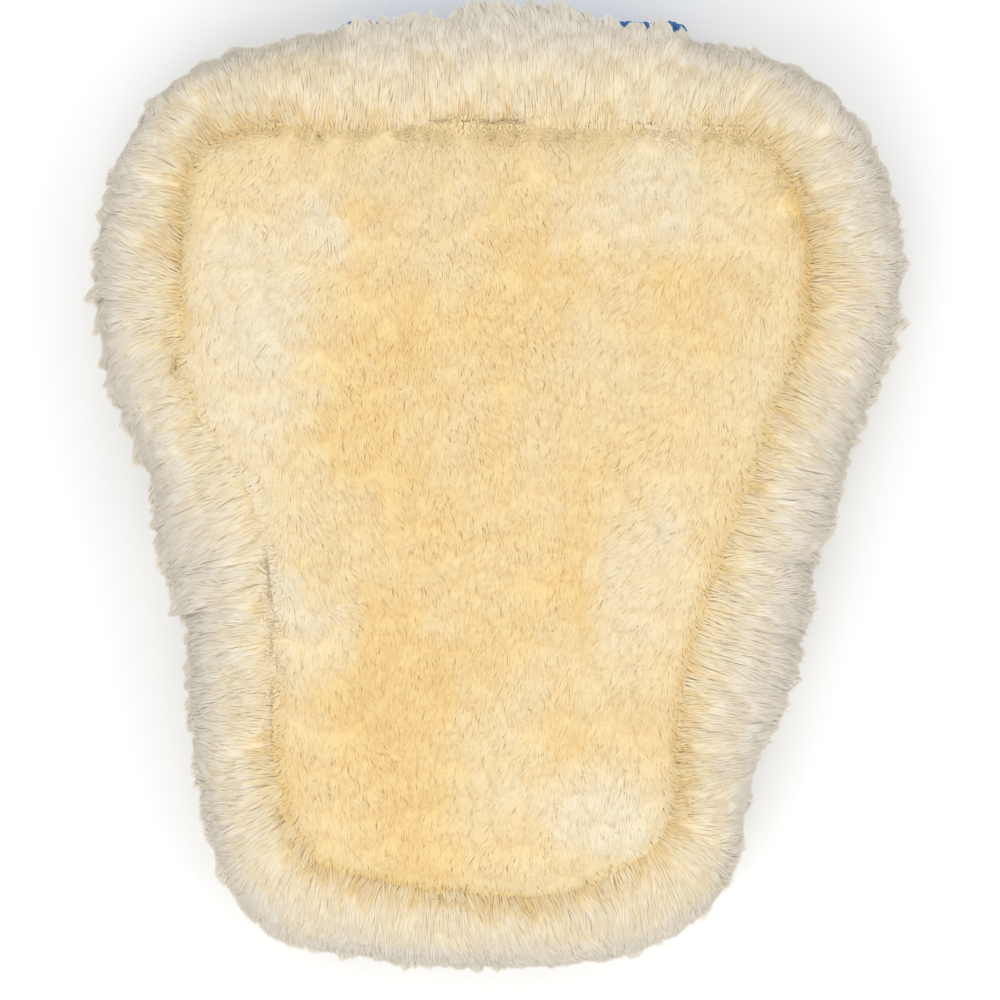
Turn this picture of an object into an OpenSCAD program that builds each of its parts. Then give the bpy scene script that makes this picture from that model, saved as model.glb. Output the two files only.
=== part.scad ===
// Lambswool wash mitt, lying on its back with the wool of the palm up.
// X runs across the mitt, +Y from the toe to the mouth, +Z up out of the palm.
// The origin is on the surface that the mitt lies on, under the middle of its outline.

/* [Overall size] */
// Length over the wool, from the toe to the mouth
mitt_l = 270; // [240:1:300]
// Greatest width over the wool
mitt_w = 230; // [205:1:255]
// Height over the wool of the palm
mitt_h = 50; // [47:1:56]

/* [Rolled edge] */
// Height over the wool of the rolled edge
roll_h = 45.5; // [42:0.5:46.5]
// Height of the roll's outermost line
roll_mid_z = 21; // [18:0.5:24]
// How far the edge pelt stands out past the palm seam
pelt_bulge = 7; // [5:0.5:8]

/* [Hand pocket] */
// Height of the back panel's lower face above the surface
back_z = 9.6; // [8:0.2:11]
// Clear height of the pocket between its linings
pocket_h = 12.8; // [11:0.2:14]
// Thickness of the back panel
back_t = 1.4; // [1:0.1:1.8]
// Thickness of each lining
lining_t = 0.6; // [0.4:0.1:0.8]
// Thickness of the tanned skin that the wool grows from
pelt_t = 1.2; // [0.8:0.1:1.4]

/* [Cuff] */
// Width of the relaxed cuff
cuff_w = 100; // [90:1:104]
// Distance of the cuff's middle from the mitt's middle
cuff_x = 3.5; // [0:0.5:5]
// Length of the cuff outside the mouth seam
cuff_l = 32; // [26:0.5:32]
// Thickness of the folded knit
cuff_wall = 2.6; // [2.2:0.1:3]
// Width of the elastic band in the cuff's fold
elastic_w = 8; // [6:0.5:10]
// Length of the back panel's lap under the cuff
cuff_lap = 6; // [4:0.5:8]

/* [Trim] */
// Width of the binding tape inside the mouth
binding_w = 8; // [6:0.5:10]
// Radius of the sewing thread
thread_r = 0.5; // [0.4:0.05:0.55]

/* [Hidden] */
$fn = 48;

// Stations round the mitt, anticlockwise from the mouth's right end: a point on the palm seam and
// the point of the wool's outer edge across from it, on a mitt 230 wide and 270 long.
STATIONS = [
    // mouth
    [[60, 101], [62, 128.5]],
    [[33, 101.5], [33, 133.5]],
    [[0, 101.5], [0, 135]],
    [[-30, 102], [-30, 133.8]],
    [[-54, 102], [-54, 131]],
    // left side, with its corner at the mouth
    [[-74, 101.5], [-84, 123.5]],
    [[-85, 96], [-105.5, 104]],
    [[-88, 80], [-113, 82]],
    [[-90, 55], [-115, 54]],
    [[-86.5, 27], [-109.5, 27]],
    [[-71, 5], [-103.5, 4]],
    [[-63, -20], [-97, -20]],
    [[-62, -50], [-90, -50]],
    [[-62, -78], [-87.5, -80]],
    [[-57, -96], [-79.5, -107]],
    // toe
    [[-44, -106], [-64, -127.5]],
    [[-20, -110], [-28, -133.5]],
    [[10, -112], [6, -135]],
    [[31, -107], [38, -131]],
    [[43, -98], [59, -121]],
    // right side, with its corner at the mouth
    [[49.5, -86], [69.5, -97]],
    [[50, -63], [81.5, -63]],
    [[57, -36], [88, -36]],
    [[66, -8], [95, -8]],
    [[76, 22], [104, 22]],
    [[85.5, 46], [113, 48]],
    [[88, 65], [115, 68]],
    [[84, 83], [111, 88]],
    [[77, 97], [102, 107.5]],
    [[68.5, 100.5], [85, 120.8]]
];
// Rings drawn between one station and the next
STEPS = 3;
// Stations at which one border strip ends and the next begins
JOIN_MOUTH_LEFT = 4;
JOIN_TOE_LEFT = 14.5;
JOIN_TOE_RIGHT = 19.5;
JOIN_MOUTH_RIGHT = 30;
// Half of the gap at a join, as a part of a station
PILE_GAP = 0.005;
PELT_GAP = 0.035;

// Clearance between pieces that lie against each other
GAP = 0.1;
// Distance of the wool from the seam on either side of the groove
GROOVE = 1;
back_top = back_z + back_t;
pocket_z0 = back_top + lining_t;
pocket_z1 = pocket_z0 + pocket_h;
pelt_z = pocket_z1 + lining_t;
pelt_top = pelt_z + pelt_t;
cuff_h = pelt_top - back_top - 2 * GAP;
cuff_z = (pelt_top + back_top) / 2;
mouth_y = 102 * mitt_l / 270;
cuff_y0 = mouth_y;
cuff_slot = 0.6;

// A point on the smooth closed curve through pts, at station s
function wrapped(pts, i) = pts[(i % len(pts) + len(pts)) % len(pts)];
function spline(a, b, c, d, t) =
    (2 * b + (c - a) * t + (2 * a - 5 * b + 4 * c - d) * t * t + (3 * b - a - 3 * c + d) * t * t * t) / 2;
function on_curve(pts, s) =
    let (i = floor(s))
    spline(wrapped(pts, i - 1), wrapped(pts, i), wrapped(pts, i + 1), wrapped(pts, i + 2), s - i);

function scaled(p) = [p.x * mitt_w / 230, p.y * mitt_l / 270];
SEAM_POINTS = [for (st = STATIONS) scaled(st[0])];
EDGE_POINTS = [for (st = STATIONS) scaled(st[1])];
function seam(s) = on_curve(SEAM_POINTS, s);
function edge(s) = on_curve(EDGE_POINTS, s);
function border_w(s) = norm(edge(s) - seam(s));
function outward(s) = (edge(s) - seam(s)) / border_w(s);

// Every ring of the closed loop, and the rings of one strip between two joins
LOOP = [for (i = [0 : len(STATIONS) * STEPS - 1]) i / STEPS];
function strip(from, to, gap) =
    concat([from + gap], [for (s = [ceil(from * STEPS + 0.5) / STEPS : 1 / STEPS : to - 0.4 / STEPS]) s],
        [to - gap]);

// The loop at a distance r outward from the palm seam
function loop_at(r) = [for (s = LOOP) seam(s) + outward(s) * r];

// A section drawn in distance from the seam and height, set upright at station s
function upright(s, section) =
    [for (q = section) let (p = seam(s) + outward(s) * q[0]) [p.x, p.y, q[1]]];

// Solid through rings of equal length, capped at its ends or closed into a loop
module skin(rings, closed = false) {
    n = len(rings[0]);
    m = len(rings);
    spans = closed ? m : m - 1;
    sides = [for (i = [0 : spans - 1]) for (j = [0 : n - 1])
        let (k = (j + 1) % n, low = i * n, high = (i + 1) % m * n)
        each [[low + j, high + j, low + k], [low + k, high + j, high + k]]];
    caps = closed ? [] : [[for (j = [0 : n - 1]) j], [for (j = [n - 1 : -1 : 0]) (m - 1) * n + j]];
    polyhedron([for (ring = rings) each ring], concat(sides, caps), convexity = 8);
}

// A quarter of an ellipse from angle a0 to a1 about [r, z]
function quarter(r, z, rr, rz, a0, a1, n = 5) =
    [for (i = [0 : n]) let (a = a0 + (a1 - a0) * i / n) [r + rr * cos(a), z + rz * sin(a)]];

// The middle line of the edge pelt, from the palm seam out round the pocket to the back panel
PELT_LINE = [
    [GROOVE - 0.3, pelt_z + pelt_t / 2],
    [pelt_bulge * 0.5, pelt_z - 0.4],
    [pelt_bulge * 0.86, pocket_z1 - 2.4],
    [pelt_bulge, (pocket_z0 + pocket_z1) / 2],
    [pelt_bulge * 0.9, pocket_z0 + 2.8],
    [pelt_bulge * 0.6, back_top + GAP + pelt_t / 2]
];
// That line moved out sideways by d
function line_normal(i) =
    let (a = PELT_LINE[max(i - 1, 0)], b = PELT_LINE[min(i + 1, len(PELT_LINE) - 1)], v = (b - a) / norm(b - a))
    [-v.y, v.x];
function pelt_side(d) = [for (i = [0 : len(PELT_LINE) - 1]) PELT_LINE[i] + line_normal(i) * d];
function reversed(list) = [for (i = [len(list) - 1 : -1 : 0]) list[i]];

// Sections of the four kinds of border piece
function pelt_section() = concat(pelt_side(-pelt_t / 2), reversed(pelt_side(pelt_t / 2)));
function shelf_section(w) = [
    [GROOVE - 0.3, pelt_top], [GROOVE - 0.3, pelt_top + pelt_t],
    [0.8 * w, pelt_top + pelt_t], [0.8 * w, pelt_top]
];
function roll_top(w, z0, mid_z) =
    let (crown = 0.48 * w)
    concat(
        quarter(crown, z0, -(crown - GROOVE), roll_h - z0, 0, 90),
        quarter(crown, mid_z, w - crown, roll_h - mid_z, 75, 0, 4));
function roll_section(w) =
    let (foot = pelt_bulge + 0.4, side = pelt_side(pelt_t / 2 + GAP), last = len(side) - 1)
    concat(
        roll_top(w, pelt_top + GAP, roll_mid_z),
        quarter(0.72 * w, roll_mid_z, 0.28 * w, -roll_mid_z, 22, 90, 4),
        quarter(0.44 * w, back_z - 1, foot - 0.44 * w, 1 - back_z, 90, 0, 4),
        [[foot, back_top + GAP]],
        [for (i = [last - 1 : -1 : 1]) side[i]]);
function hood_section(w) =
    let (z0 = pelt_top + pelt_t + GAP)
    concat(roll_top(w, z0, z0 + 6), [[0.94 * w, z0 + 1.5], [0.84 * w, z0]]);

module border_pile(from, to) {
    color("ivory") skin([for (s = strip(from, to, PILE_GAP)) upright(s, reversed(roll_section(border_w(s))))]);
}

module border_pelt(from, to) {
    color("burlywood") skin([for (s = strip(from, to, PELT_GAP)) upright(s, pelt_section())]);
}

// Round thread along the loop, at a distance r from the palm seam
module loop_thread(r, z) {
    section = [for (a = [0 : 60 : 300]) [r + thread_r * cos(a), z + thread_r * sin(a)]];
    skin([for (s = LOOP) upright(s, reversed(section))], closed = true);
}

// A flat oval, w across and h high, with round ends
module oval(w, h) {
    square([w - h, h], center = true);
    for (side = [-1, 1]) translate([side * (w - h) / 2, 0]) circle(d = h);
}

// A flat oval set across the mouth and drawn out along Y
module oval_tube(y0, length, w, h, wall) {
    translate([cuff_x, y0 + length, cuff_z]) rotate([90, 0, 0]) linear_extrude(length) difference() {
        oval(w, h);
        oval(w - 2 * wall, h - 2 * wall);
    }
}

module palm_pile() {
    // how far each ring lies in from the seam towards the middle of the palm, and its part of the height
    rings = [[0, 0], [0.01, 0.42], [0.035, 0.66], [0.08, 0.81], [0.16, 0.91], [0.28, 0.965], [0.45, 1]];
    middle = [cuff_x - 6, 0];
    color("cornsilk") skin(reversed([
        for (ring = rings) [
            for (p = loop_at(-GROOVE))
            let (q = p + (middle - p) * ring[0])
            [q.x, q.y, pelt_top + ring[1] * (mitt_h - pelt_top)]
        ]
    ]));
}

module palm_pelt() {
    color("burlywood") translate([0, 0, pelt_z]) linear_extrude(pelt_t) polygon(loop_at(-0.3));
}

module border_pile_mouth() {
    color("ivory") skin([
        for (s = strip(0, JOIN_MOUTH_LEFT, PILE_GAP)) upright(s, reversed(hood_section(border_w(s))))
    ]);
}

module border_pile_left() {
    border_pile(JOIN_MOUTH_LEFT, JOIN_TOE_LEFT);
}

module border_pile_toe() {
    border_pile(JOIN_TOE_LEFT, JOIN_TOE_RIGHT);
}

module border_pile_right() {
    border_pile(JOIN_TOE_RIGHT, JOIN_MOUTH_RIGHT);
}

module border_pelt_mouth() {
    color("burlywood") skin([
        for (s = strip(0, JOIN_MOUTH_LEFT, PELT_GAP)) upright(s, reversed(shelf_section(border_w(s))))
    ]);
}

module border_pelt_left() {
    border_pelt(JOIN_MOUTH_LEFT, JOIN_TOE_LEFT);
}

module border_pelt_toe() {
    border_pelt(JOIN_TOE_LEFT, JOIN_TOE_RIGHT);
}

module border_pelt_right() {
    border_pelt(JOIN_TOE_RIGHT, JOIN_MOUTH_RIGHT);
}

module lining(z) {
    translate([0, 0, z]) linear_extrude(lining_t) polygon(loop_at(-2));
}

module palm_lining() {
    color("lightsteelblue") lining(pocket_z1);
}

module back_lining() {
    color("lightsteelblue") lining(back_top);
}

module back_panel() {
    lap_w = cuff_w - cuff_h;
    color("royalblue") translate([0, 0, back_z]) linear_extrude(back_t) {
        polygon(loop_at(pelt_bulge - 0.8));
        translate([cuff_x - lap_w / 2, 0]) square([lap_w, mouth_y + cuff_lap]);
    }
}

// Rib-knit tube folded double, open towards the mouth seam and closed at its outer end
module knit_cuff() {
    layer = (cuff_wall - cuff_slot) / 2;
    color("royalblue") difference() {
        oval_tube(cuff_y0, cuff_l, cuff_w, cuff_h, cuff_wall);
        oval_tube(cuff_y0 - 1, cuff_l - layer + 1, cuff_w - 2 * layer, cuff_h - 2 * layer, cuff_slot);
    }
}

module cuff_elastic() {
    layer = (cuff_wall - cuff_slot) / 2;
    wall = cuff_slot - 2 * GAP;
    clear = 2 * (layer + GAP);
    color("whitesmoke")
        oval_tube(cuff_y0 + cuff_l - layer - elastic_w - GAP, elastic_w, cuff_w - clear, cuff_h - clear, wall);
}

module mouth_binding() {
    inside = 2 * (cuff_wall + GAP);
    color("midnightblue") oval_tube(cuff_y0, binding_w, cuff_w - inside, cuff_h - inside, 0.8);
}

module palm_seam() {
    color("tan") loop_thread(0, pelt_top + thread_r + 0.2);
}

module back_seam() {
    color("tan") loop_thread(pelt_bulge * 0.6, back_z - thread_r - GAP);
}

// Thread that joins the linings to the cuff, lying between their edges
module cuff_seam() {
    height = pocket_h - 2 * thread_r - 0.4;
    span = cuff_w - 2 * cuff_wall - height;
    z = (pocket_z0 + pocket_z1) / 2;
    color("royalblue") translate([cuff_x, mouth_y - thread_r - GAP, z]) rotate([90, 0, 0]) {
        for (side = [-1, 1]) {
            translate([-span / 2, side * height / 2, 0]) rotate([0, 90, 0]) cylinder(r = thread_r, h = span);
            translate([side * span / 2, 0, 0]) rotate([0, 0, -90 * side])
                rotate_extrude(angle = 180) translate([height / 2, 0]) circle(r = thread_r);
        }
    }
}

// Upright line of stitching that closes the edge pelt where two strips meet
module strip_join_stitches() {
    r = pelt_bulge * 0.95;
    z0 = pocket_z0 + 2;
    color("tan") for (s = [JOIN_MOUTH_LEFT, JOIN_TOE_LEFT, JOIN_TOE_RIGHT, JOIN_MOUTH_RIGHT]) {
        p = seam(s) + outward(s) * r;
        translate([p.x, p.y, z0]) cylinder(r = thread_r, h = pocket_h - 4);
    }
}

palm_pile();
palm_pelt();
border_pile_mouth();
border_pile_left();
border_pile_toe();
border_pile_right();
border_pelt_mouth();
border_pelt_left();
border_pelt_toe();
border_pelt_right();
palm_lining();
back_lining();
back_panel();
knit_cuff();
cuff_elastic();
mouth_binding();
palm_seam();
back_seam();
cuff_seam();
strip_join_stitches();
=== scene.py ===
import math

import bpy
import numpy as np
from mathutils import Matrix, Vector


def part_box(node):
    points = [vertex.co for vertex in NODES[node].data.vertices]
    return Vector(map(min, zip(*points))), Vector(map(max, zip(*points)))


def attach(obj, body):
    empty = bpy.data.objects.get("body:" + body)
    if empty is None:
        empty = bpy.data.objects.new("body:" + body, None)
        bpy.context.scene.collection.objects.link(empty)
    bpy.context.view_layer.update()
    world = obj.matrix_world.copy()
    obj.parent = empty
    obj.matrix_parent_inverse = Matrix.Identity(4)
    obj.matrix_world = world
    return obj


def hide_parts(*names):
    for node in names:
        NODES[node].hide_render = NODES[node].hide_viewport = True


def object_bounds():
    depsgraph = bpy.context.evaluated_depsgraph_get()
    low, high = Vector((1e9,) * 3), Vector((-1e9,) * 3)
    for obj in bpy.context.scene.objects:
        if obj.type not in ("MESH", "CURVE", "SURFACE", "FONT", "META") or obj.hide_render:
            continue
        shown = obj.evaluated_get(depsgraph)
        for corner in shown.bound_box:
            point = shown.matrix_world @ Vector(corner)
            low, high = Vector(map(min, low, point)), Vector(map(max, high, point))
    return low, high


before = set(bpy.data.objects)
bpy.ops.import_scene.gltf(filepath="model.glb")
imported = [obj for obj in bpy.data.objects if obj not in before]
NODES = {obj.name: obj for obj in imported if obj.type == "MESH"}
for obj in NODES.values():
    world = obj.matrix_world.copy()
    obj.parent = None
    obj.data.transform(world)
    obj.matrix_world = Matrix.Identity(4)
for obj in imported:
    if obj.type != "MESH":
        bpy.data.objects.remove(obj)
CAD_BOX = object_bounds()
MM = 0.001
TURN = 2 * np.pi
BODY = "root"
UPWARD = np.array([0.0, 0.0, 1.0])

# ---- numbers that vary from place to place

def noise(x, y, seed, cell):
    """Smooth value noise from -1 to 1, with features about as wide as cell."""
    u, v = x / cell, y / cell
    i, j = np.floor(u).astype(np.int64), np.floor(v).astype(np.int64)
    fu, fv = u - i, v - j
    fu, fv = fu * fu * (3 - 2 * fu), fv * fv * (3 - 2 * fv)
    low = chance(i, j, seed) * (1 - fu) + chance(i + 1, j, seed) * fu
    high = chance(i, j + 1, seed) * (1 - fu) + chance(i + 1, j + 1, seed) * fu
    return 2 * (low * (1 - fv) + high * fv) - 1

def chance(i, j, seed):
    """A repeatable random number from 0 to 1 for each whole-numbered pair."""
    h = (i.astype(np.int64) * 374761393 + j.astype(np.int64) * 668265263 + seed * 2246822519)
    h = h & 0xFFFFFFFF
    h = ((h ^ (h >> 13)) * 1274126177) & 0xFFFFFFFF
    h = ((h ^ (h >> 16)) * 2654435761) & 0xFFFFFFFF
    return ((h ^ (h >> 15)) & 0xFFFFFF) / float(0x1000000)

def clumps(u, v, cell, seed, cells_round=0):
    """The nearest point of a jittered grid to each (u, v), and that point's whole-numbered name.
    cells_round is the number of cells after which u comes back to where it began."""
    i0, j0 = np.floor(u / cell).astype(np.int64), np.floor(v / cell).astype(np.int64)
    best = np.full(u.shape, 1e9)
    cu, cv = np.zeros_like(u), np.zeros_like(v)
    ci, cj = i0.copy(), j0.copy()
    for di in (-1, 0, 1):
        for dj in (-1, 0, 1):
            i, j = i0 + di, j0 + dj
            name = i % cells_round if cells_round else i
            pu = (i + 0.1 + 0.8 * chance(name, j, seed)) * cell
            pv = (j + 0.1 + 0.8 * chance(name, j, seed + 1)) * cell
            d = (pu - u) ** 2 + (pv - v) ** 2
            near = d < best
            best = np.where(near, d, best)
            cu, cv = np.where(near, pu, cu), np.where(near, pv, cv)
            ci, cj = np.where(near, name, ci), np.where(near, j, cj)
    return cu, cv, ci, cj

def smooth(x, low, high):
    """0 below low, 1 above high, smooth between."""
    t = np.clip((x - low) / (high - low), 0, 1)
    return t * t * (3 - 2 * t)

# ---- the outline, read from the frame

def vertices(*names):
    """The vertices of the named CAD nodes, in millimetres."""
    parts = []
    for name in names:
        mesh = NODES[name].data
        co = np.empty(len(mesh.vertices) * 3)
        mesh.vertices.foreach_get("co", co)
        parts.append(co.reshape(-1, 3) / MM)
    return np.concatenate(parts)

def polar(points):
    """The direction of each point from the middle of the mitt, and its distance."""
    return np.arctan2(points[:, 1], points[:, 0]) % TURN, np.hypot(points[:, 0], points[:, 1])

BORDERS = ["border_pile_mouth", "border_pile_left", "border_pile_toe", "border_pile_right"]
LOOP_N = 1440        # samples in a loop table
BINS = 90            # directions in which the outermost vertex is looked for
BLUR = 24            # samples to each side that smooth a loop table
BLUR_WIDTH = 9.0
LOOK = 6             # samples to each side that give a loop's direction
THETA = np.arange(LOOP_N) * TURN / LOOP_N

def outline(points):
    """The outermost radius in each direction, as LOOP_N samples."""
    angle, radius = polar(points)
    slot = np.floor(angle / TURN * BINS).astype(int)
    keep = [np.flatnonzero(slot == k)[np.argmax(radius[slot == k])] for k in range(BINS) if (slot == k).any()]
    keep = np.array(keep)[np.argsort(angle[keep])]
    samples = np.interp(THETA, angle[keep], radius[keep], period=TURN)
    window = np.exp(-0.5 * (np.arange(-BLUR, BLUR + 1) / BLUR_WIDTH) ** 2)
    wrapped = np.concatenate([samples[-BLUR:], samples, samples[:BLUR]])
    return np.convolve(wrapped, window / window.sum(), "valid")

SEAM_CLEARANCE = 0.3   # mm from the edge of the palm's skin to the seam
R_SEAM = outline(vertices("palm_pelt")) + SEAM_CLEARANCE
R_EDGE = outline(vertices(*BORDERS))
RADIAL = np.stack([np.cos(THETA), np.sin(THETA)], 1)
SEAM = RADIAL * R_SEAM[:, None]
EDGE = RADIAL * R_EDGE[:, None]

def loop_normals(loop):
    """The way out of a loop at each of its samples."""
    along = np.roll(loop, -LOOK, 0) - np.roll(loop, LOOK, 0)
    along /= np.linalg.norm(along, axis=1)[:, None]
    return np.stack([along[:, 1], -along[:, 0]], 1)

OUT = loop_normals(0.5 * (SEAM + EDGE))
ALONG = np.roll(EDGE, -LOOK, 0) - EDGE
ARC = np.concatenate([[0], np.cumsum(np.linalg.norm(np.roll(EDGE, -1, 0) - EDGE, axis=1))])
ROUND = ARC[-1]

PELT_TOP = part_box("palm_pelt")[1].z / MM
PALM_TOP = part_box("palm_pile")[1].z / MM
ROLL_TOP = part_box("border_pile_left")[1].z / MM
ROLL_MID = 21.0      # mm, the height at which the rolled edge is widest

def at_theta(table, theta):
    """A loop table's value in each direction."""
    f = (theta % TURN) / TURN * LOOP_N
    i = np.floor(f).astype(int) % LOOP_N
    t = f - np.floor(f)
    a, b = table[i], table[(i + 1) % LOOP_N]
    return a + (b - a) * (t[:, None] if table.ndim > 1 else t)

def theta_of(arc):
    """The direction of each place along the outline, given in millimetres along it."""
    return np.interp(arc % ROUND, ARC, np.append(THETA, TURN))

def seam_distance(x, y):
    """How far each point lies outside the palm seam, in millimetres; negative on the palm."""
    theta = np.arctan2(y, x)
    lean = (at_theta(OUT, theta) * np.stack([np.cos(theta), np.sin(theta)], 1)).sum(1)
    return (np.hypot(x, y) - at_theta(R_SEAM, theta)) * lean

# ---- wool as blades

MOST_TRIANGLES = 190000   # in one piece
BLADE_POINTS = 4          # from the root to the tip
TONE_SPREAD = 0.006       # difference of texture coordinate between the two sides of a blade

def blades(name, path, up, width, tone, node_names, material):
    """Pieces made of tapered blades. path is (blades, points, 3) in millimetres, up the way that
    each blade's broad side faces, width (blades, points), and tone a number from 0 to 1."""
    n, k, _ = path.shape
    per_blade = 2 * (k - 2) + 1
    parts = max(1, math.ceil(n * per_blade / MOST_TRIANGLES))
    for part, rows in enumerate(np.array_split(np.arange(n), parts)):
        piece = blade_mesh(f"{name}_{part + 1}", path[rows], up[rows], width[rows], tone[rows], material)
        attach(piece, BODY)
        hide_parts(*node_names)

def new_object(name, mesh):
    """A new object in the scene."""
    piece = bpy.data.objects.new(name, mesh)
    bpy.context.collection.objects.link(piece)
    return piece

def blade_mesh(name, path, up, width, tone, material):
    """One piece of blades, each a strip of four-sided faces that ends in a triangle."""
    n, k, _ = path.shape
    along = np.gradient(path, axis=1)
    side = np.cross(along, up[:, None, :])
    side /= np.maximum(np.linalg.norm(side, axis=2, keepdims=True), 1e-9)
    half = side * width[:, :, None] / 2
    left, right = path[:, :-1] - half[:, :-1], path[:, :-1] + half[:, :-1]
    body = np.stack([left, right], 2).reshape(n, 2 * (k - 1), 3)
    points = np.concatenate([body, path[:, -1:]], 1)
    count = points.shape[1]
    base = (np.arange(n) * count)[:, None]
    quads = np.array([[2 * i, 2 * i + 1, 2 * i + 3, 2 * i + 2] for i in range(k - 2)])
    tip = np.array([2 * k - 4, 2 * k - 3, 2 * k - 2])
    order = np.concatenate([quads.ravel(), tip])
    loops = (base + order[None, :]).ravel().astype(np.int32)
    sizes = np.tile(np.array([4] * (k - 2) + [3], np.int32), n)
    starts = np.concatenate([[0], np.cumsum(sizes)[:-1]]).astype(np.int32)
    mesh = bpy.data.meshes.new(name)
    mesh.vertices.add(n * count)
    mesh.vertices.foreach_set("co", (points * MM).astype(np.float32).ravel())
    mesh.loops.add(len(loops))
    mesh.loops.foreach_set("vertex_index", loops)
    mesh.polygons.add(len(sizes))
    mesh.polygons.foreach_set("loop_start", starts)
    mesh.polygons.foreach_set("use_smooth", np.ones(len(sizes), bool))
    layer = mesh.uv_layers.new(name="OFBake")
    layer.data.foreach_set("uv", blade_texture(n, k, tone)[loops].astype(np.float32).ravel())
    mesh.update(calc_edges=True)
    normals = np.repeat(up[:, None, :], count, 1).reshape(-1, 3)
    mesh.normals_split_custom_set_from_vertices(normals.astype(np.float32))
    mesh.materials.append(material)
    return new_object(name, mesh)

def blade_texture(n, k, tone):
    """Texture coordinates of the points of n blades: one runs from root to tip, the other is the tone."""
    t = np.linspace(0, 1, k)
    u = np.concatenate([np.repeat(t[:-1], 2), t[-1:]])
    v = np.concatenate([np.tile([-TONE_SPREAD, TONE_SPREAD], k - 1), [0]])
    across = np.tile(u, (n, 1)) * 0.96 + 0.02
    upward = tone[:, None] * 0.94 + 0.03 + v[None, :]
    return np.stack([across, upward], 2).reshape(-1, 2)

def unit(v):
    """v with its length made 1."""
    return v / np.maximum(np.linalg.norm(v, axis=-1, keepdims=True), 1e-9)

def bent(root, lift, tip, points):
    """Points along the curve from root towards lift and over to tip."""
    t = np.linspace(0, 1, points)[None, :, None]
    return root[:, None] * (1 - t) ** 2 + 2 * lift[:, None] * t * (1 - t) + tip[:, None] * t ** 2

# ---- materials

def node_material(name, roughness, sheen=0.0, sheen_tint=(1, 1, 1)):
    """A new material, its node tree and its shader."""
    material = bpy.data.materials.new(name)
    material.use_nodes = True
    shader = material.node_tree.nodes["Principled BSDF"]
    shader.inputs["Roughness"].default_value = roughness
    shader.inputs["Sheen Weight"].default_value = sheen
    shader.inputs["Sheen Tint"].default_value = (*sheen_tint, 1)
    shader.inputs["Specular IOR Level"].default_value = 0.15
    return material, material.node_tree, shader

def ramp(tree, stops, factor):
    """A colour that runs through the given stops as factor goes from 0 to 1."""
    node = tree.nodes.new("ShaderNodeValToRGB")
    while len(node.color_ramp.elements) < len(stops):
        node.color_ramp.elements.new(0.5)
    for element, (at, colour) in zip(node.color_ramp.elements, stops):
        element.position = at
        element.color = (*colour, 1)
    tree.links.new(factor, node.inputs["Fac"])
    return node.outputs["Color"]

def mixed(tree, a, b, factor, blend="MIX"):
    """a and b, each a socket or a colour, mixed by factor, a socket or a number."""
    node = tree.nodes.new("ShaderNodeMix")
    node.data_type = "RGBA"
    node.blend_type = blend
    for socket, value in ((node.inputs[6], a), (node.inputs[7], b), (node.inputs["Factor"], factor)):
        if isinstance(value, tuple):
            socket.default_value = (*value, 1)
        elif isinstance(value, (int, float)):
            socket.default_value = value
        else:
            tree.links.new(value, socket)
    return node.outputs[2]

# The wool's colour by tone, from 0, the golden wool in a hollow with painted shade, to 1, the palest; on the
# edge 1 is a greyer ivory, painted shade where the outline curves down
PALM_TONES = [(0.0, (0.79, 0.55, 0.22)),
              (0.25, (0.91, 0.69, 0.33)),
              (0.5, (0.90, 0.735, 0.43)),
              (1.0, (0.89, 0.825, 0.67))]
EDGE_TONES = [(0.0, (0.81, 0.59, 0.27)),
              (0.25, (0.89, 0.77, 0.53)),
              (0.6, (0.83, 0.765, 0.65)),
              # painted shade: the outline's ivory is greyer than the sides' ivory at 0.6
              (1.0, (0.80, 0.74, 0.63))]
ROOT_TINT = (0.985, 0.93, 0.82)

def wool_material(name, tones):
    """Wool whose blades carry their tone in one texture coordinate and their length in the other."""
    material, tree, shader = node_material(name, 0.85)
    uv = tree.nodes.new("ShaderNodeUVMap")
    uv.uv_map = "OFBake"
    split = tree.nodes.new("ShaderNodeSeparateXYZ")
    tree.links.new(uv.outputs["UV"], split.inputs[0])
    tint = ramp(tree, [(0.0, ROOT_TINT), (0.55, (1.0, 1.0, 1.0))], split.outputs["X"])
    colour = mixed(tree, ramp(tree, tones, split.outputs["Y"]), tint, 1.0, "MULTIPLY")
    tree.links.new(colour, shader.inputs["Base Color"])
    return material

def undercoat_material(name, tones):
    """The short dense wool under the tips, with a tone at each vertex."""
    material, tree, shader = node_material(name, 0.9)
    tone = tree.nodes.new("ShaderNodeAttribute")
    tone.attribute_name = "tone"
    colour = mixed(tree, ramp(tree, tones, tone.outputs["Fac"]), ROOT_TINT, 0.35, "MULTIPLY")
    tree.links.new(colour, shader.inputs["Base Color"])
    return material

PALM_WOOL = wool_material("palm_wool", PALM_TONES)
BORDER_WOOL = wool_material("border_wool", EDGE_TONES)
PALM_UNDERCOAT = undercoat_material("palm_undercoat", PALM_TONES)
EDGE_UNDERCOAT = undercoat_material("edge_undercoat", EDGE_TONES)

# ---- the groove along the palm seam

# How open the stitched groove is, by direction from the middle of the mitt in degrees
GROOVE = [(0, 0.6), (22, 0.75), (35, 1.0), (45, 0.9), (53, 0.6), (62, 0.25), (90, 0.2), (115, 0.25),
          (126, 0.8), (138, 0.8), (150, 0.6), (163, 0.3), (178, 0.1), (200, 0.15), (222, 0.4), (236, 0.55),
          (246, 0.95), (262, 0.8), (284, 0.8), (292, 0.45), (301, 0.9), (310, 0.6), (333, 0.5)]
groove_turn, groove_open = np.array(GROOVE, float).T

def open_groove(theta):
    """How open the groove is in each direction, from 0 to 1."""
    return np.interp(np.degrees(theta) % 360, groove_turn, groove_open, period=360)
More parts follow.
